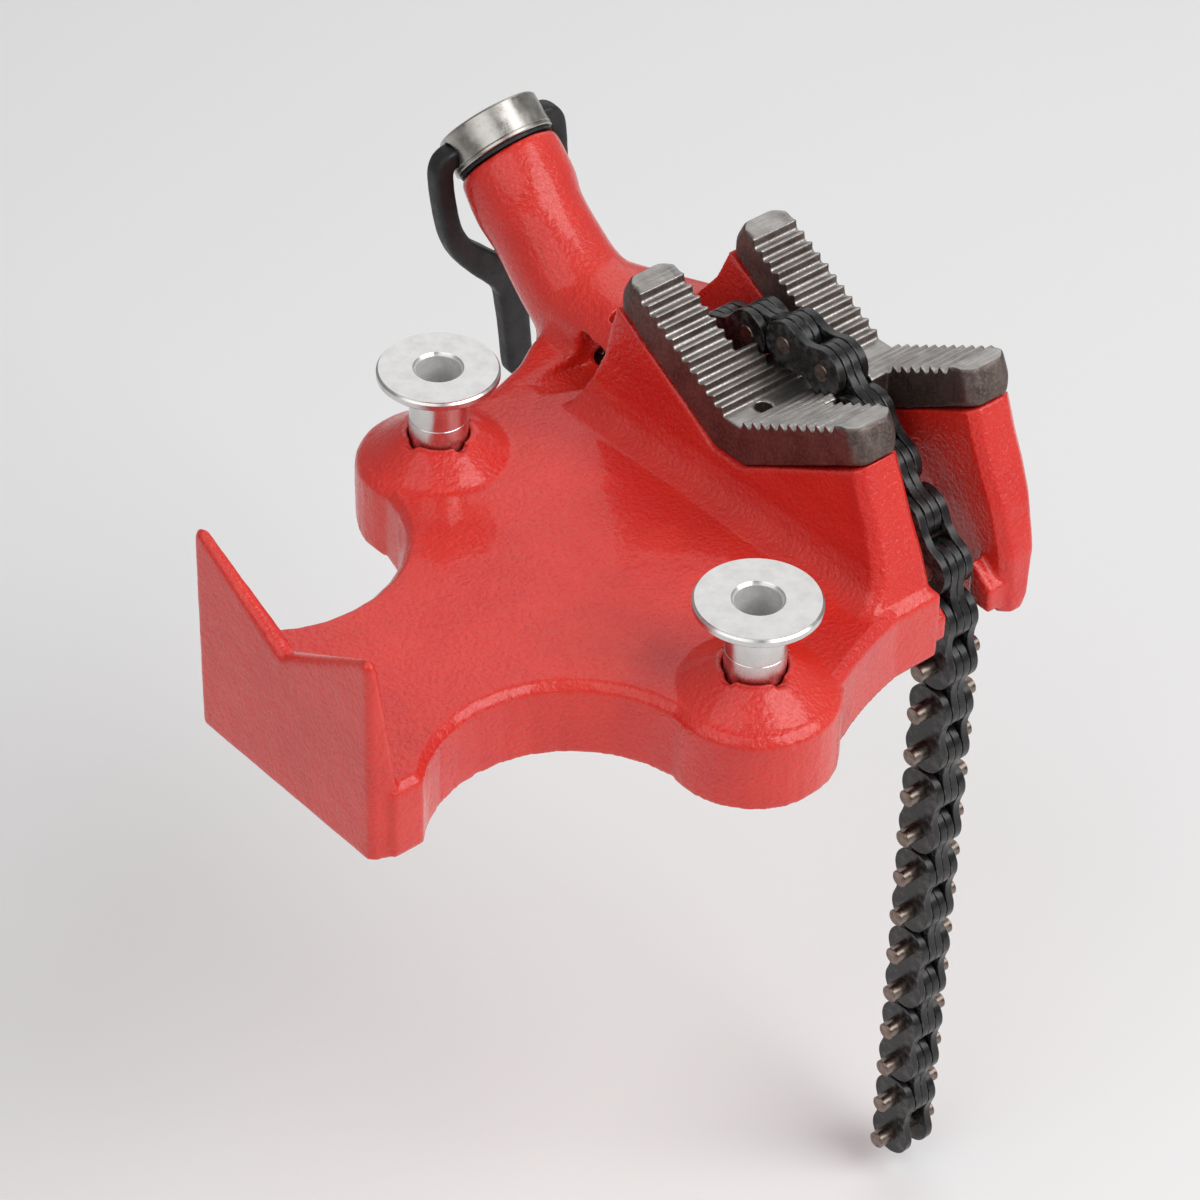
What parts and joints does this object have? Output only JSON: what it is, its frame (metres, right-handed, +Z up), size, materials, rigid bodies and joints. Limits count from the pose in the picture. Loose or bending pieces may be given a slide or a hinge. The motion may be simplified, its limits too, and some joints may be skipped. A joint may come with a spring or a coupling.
{
  "type": "chain pipe vise",
  "caption": "Bench chain pipe vise: toothed V jaw, leaf chain drawn by a screw in a slanted tower, pipe rest and two mounting spools.",
  "frame": {"origin": "on the mounting plane, midway between the axes of the two mounting bolts, on the underside of the casting's cross rib", "axes": "+X along the clamped pipe, from the pipe rest to the jaw; +Y across, to the screw tower; +Z up, square to the bench"},
  "size_m": [0.3636, 0.4084, 0.4768],
  "materials": {
    "red_enamel": "glossy red enamel over a sand casting",
    "jaw_steel": "milled and hardened tool steel",
    "turned_steel": "bright turned steel",
    "brushed_steel": "turned steel, faintly stained",
    "black_forging": "black scale on a rough forging",
    "black_oxide": "black oxide with bright worn edges",
    "pin_steel": "oiled brownish steel"
  },
  "bodies": {
    "base": {"base_casting": "red_enamel", "jaw": "jaw_steel", "jaw_screw_front": "pin_steel", "jaw_screw_rear": "pin_steel", "mounting_spool_right": "turned_steel", "mounting_spool_left": "turned_steel", "thrust_washer": "black_forging"},
    "hub": {"hub_nut": "brushed_steel"},
    "screw": {"chain_screw": "pin_steel", "clevis_pin": "pin_steel"},
    "handle": {"handle": "black_forging"},
    "link_01": {"chain_inner_link_01": "black_oxide"},
    "link_02": {"chain_outer_link_02": "black_oxide"},
    "link_03": {"chain_inner_link_03": "black_oxide"},
    "link_04": {"chain_outer_link_04": "black_oxide"},
    "link_05": {"chain_inner_link_05": "black_oxide"},
    "link_06": {"chain_outer_link_06": "black_oxide"},
    "link_07": {"chain_inner_link_07": "black_oxide"},
    "link_08": {"chain_outer_link_08": "black_oxide"},
    "link_09": {"chain_inner_link_09": "black_oxide"},
    "link_10": {"chain_outer_link_10": "black_oxide"},
    "link_11": {"chain_inner_link_11": "black_oxide"},
    "link_12": {"chain_outer_link_12": "black_oxide"},
    "link_13": {"chain_inner_link_13": "black_oxide"},
    "link_14": {"chain_outer_link_14": "black_oxide"},
    "link_15": {"chain_inner_link_15": "black_oxide"},
    "link_16": {"chain_outer_link_16": "black_oxide"},
    "link_17": {"chain_inner_link_17": "black_oxide"},
    "link_18": {"chain_outer_link_18": "black_oxide"},
    "link_19": {"chain_inner_link_19": "black_oxide"},
    "link_20": {"chain_outer_link_20": "black_oxide"},
    "link_21": {"chain_inner_link_21": "black_oxide"},
    "link_22": {"chain_outer_link_22": "black_oxide"},
    "link_23": {"chain_inner_link_23": "black_oxide"},
    "link_24": {"chain_outer_link_24": "black_oxide"},
    "link_25": {"chain_inner_link_25": "black_oxide"},
    "link_26": {"chain_outer_link_26": "black_oxide"},
    "link_27": {"chain_inner_link_27": "black_oxide"},
    "link_28": {"chain_outer_link_28": "black_oxide"}
  },
  "joints": [
    {"name": "hub_turn", "type": "hinge", "parent": "base", "child": "hub", "pos_m": [0.13505, 0.2254, 0.0961], "axis": [0, -0.7815, -0.6239], "range_deg": [0, 1440]},
    {"name": "screw_slide", "type": "slide", "parent": "base", "child": "screw", "axis": [0, 0.7815, 0.6239], "range_m": [0, 0.02]},
    {"name": "handle_swing", "type": "hinge", "parent": "hub", "child": "handle", "pos_m": [0.13505, 0.23282, 0.10203], "axis": [0.9917, -0.0804, 0.1007], "range_deg": [-10, 180]},
    {"name": "pin_01", "type": "hinge", "parent": "screw", "child": "link_01", "pos_m": [0.13505, 0.18132, 0.06091], "axis": [-1, 0, 0], "range_deg": [0, 0.5]},
    {"name": "pin_02", "type": "hinge", "parent": "link_01", "child": "link_02", "pos_m": [0.13505, 0.16093, 0.04463], "axis": [-1, 0, 0], "range_deg": [0, 0.7]},
    {"name": "pin_03", "type": "hinge", "parent": "link_02", "child": "link_03", "pos_m": [0.13505, 0.14053, 0.02835], "axis": [-1, 0, 0], "range_deg": [0, 1]},
    {"name": "pin_04", "type": "hinge", "parent": "link_03", "child": "link_04", "pos_m": [0.13505, 0.12013, 0.01206], "axis": [-1, 0, 0], "range_deg": [0, 2]},
    {"name": "pin_05", "type": "hinge", "parent": "link_04", "child": "link_05", "pos_m": [0.13505, 0.09403, 0.01247], "axis": [-1, 0, 0], "range_deg": [0, 4]},
    {"name": "pin_06", "type": "hinge", "parent": "link_05", "child": "link_06", "pos_m": [0.13505, 0.08794, 0.03785], "axis": [-1, 0, 0], "range_deg": [0, 4]},
    {"name": "pin_07", "type": "hinge", "parent": "link_06", "child": "link_07", "pos_m": [0.13505, 0.07509, 0.06057], "axis": [-1, 0, 0], "range_deg": [0, 6]},
    {"name": "pin_08", "type": "hinge", "parent": "link_07", "child": "link_08", "pos_m": [0.13505, 0.05696, 0.07934], "axis": [-1, 0, 0], "range_deg": [0, 7]},
    {"name": "pin_09", "type": "hinge", "parent": "link_08", "child": "link_09", "pos_m": [0.13505, 0.03519, 0.09375], "axis": [-1, 0, 0], "range_deg": [0, 15]},
    {"name": "pin_10", "type": "hinge", "parent": "link_09", "child": "link_10", "pos_m": [0.13505, 0.01005, 0.10077], "axis": [-1, 0, 0], "range_deg": [0, 15]},
    {"name": "pin_11", "type": "hinge", "parent": "link_10", "child": "link_11", "pos_m": [0.13505, -0.01601, 0.09945], "axis": [-1, 0, 0], "range_deg": [0, 15]},
    {"name": "pin_12", "type": "hinge", "parent": "link_11", "child": "link_12", "pos_m": [0.13505, -0.03612, 0.08281], "axis": [-1, 0, 0], "range_deg": [0, 15]},
    {"name": "pin_13", "type": "hinge", "parent": "link_12", "child": "link_13", "pos_m": [0.13505, -0.0553, 0.06511], "axis": [-1, 0, 0], "range_deg": [0, 15]},
    {"name": "pin_14", "type": "hinge", "parent": "link_13", "child": "link_14", "pos_m": [0.13505, -0.07479, 0.04775], "axis": [-1, 0, 0], "range_deg": [0, 15]},
    {"name": "pin_15", "type": "hinge", "parent": "link_14", "child": "link_15", "pos_m": [0.13505, -0.09279, 0.02885], "axis": [-1, 0, 0], "range_deg": [0, 15]},
    {"name": "pin_16", "type": "hinge", "parent": "link_15", "child": "link_16", "pos_m": [0.13505, -0.0991, 0.00352], "axis": [-1, 0, 0], "range_deg": [0, 15]},
    {"name": "pin_17", "type": "hinge", "parent": "link_16", "child": "link_17", "pos_m": [0.13505, -0.10138, -0.02248], "axis": [-1, 0, 0], "range_deg": [-10, 15]},
    {"name": "pin_18", "type": "hinge", "parent": "link_17", "child": "link_18", "pos_m": [0.13505, -0.10138, -0.04858], "axis": [-1, 0, 0], "range_deg": [-10, 15]},
    {"name": "pin_19", "type": "hinge", "parent": "link_18", "child": "link_19", "pos_m": [0.13505, -0.10138, -0.07468], "axis": [-1, 0, 0], "range_deg": [-10, 15]},
    {"name": "pin_20", "type": "hinge", "parent": "link_19", "child": "link_20", "pos_m": [0.13505, -0.10138, -0.10078], "axis": [-1, 0, 0], "range_deg": [-10, 15]},
    {"name": "pin_21", "type": "hinge", "parent": "link_20", "child": "link_21", "pos_m": [0.13505, -0.10138, -0.12688], "axis": [-1, 0, 0], "range_deg": [-10, 15]},
    {"name": "pin_22", "type": "hinge", "parent": "link_21", "child": "link_22", "pos_m": [0.13505, -0.10138, -0.15298], "axis": [-1, 0, 0], "range_deg": [-10, 15]},
    {"name": "pin_23", "type": "hinge", "parent": "link_22", "child": "link_23", "pos_m": [0.13505, -0.10138, -0.17908], "axis": [-1, 0, 0], "range_deg": [-10, 15]},
    {"name": "pin_24", "type": "hinge", "parent": "link_23", "child": "link_24", "pos_m": [0.13505, -0.10138, -0.20518], "axis": [-1, 0, 0], "range_deg": [-10, 15]},
    {"name": "pin_25", "type": "hinge", "parent": "link_24", "child": "link_25", "pos_m": [0.13505, -0.10138, -0.23128], "axis": [-1, 0, 0], "range_deg": [-10, 15]},
    {"name": "pin_26", "type": "hinge", "parent": "link_25", "child": "link_26", "pos_m": [0.13505, -0.10138, -0.25738], "axis": [-1, 0, 0], "range_deg": [-10, 15]},
    {"name": "pin_27", "type": "hinge", "parent": "link_26", "child": "link_27", "pos_m": [0.13505, -0.10138, -0.28348], "axis": [-1, 0, 0], "range_deg": [-10, 15]},
    {"name": "pin_28", "type": "hinge", "parent": "link_27", "child": "link_28", "pos_m": [0.13505, -0.10138, -0.30958], "axis": [-1, 0, 0], "range_deg": [-10, 15]}
  ],
  "couplings": [
    {"joint": "screw_slide", "follows": "hub_turn", "m_per_rad": 0.00079577}
  ]
}
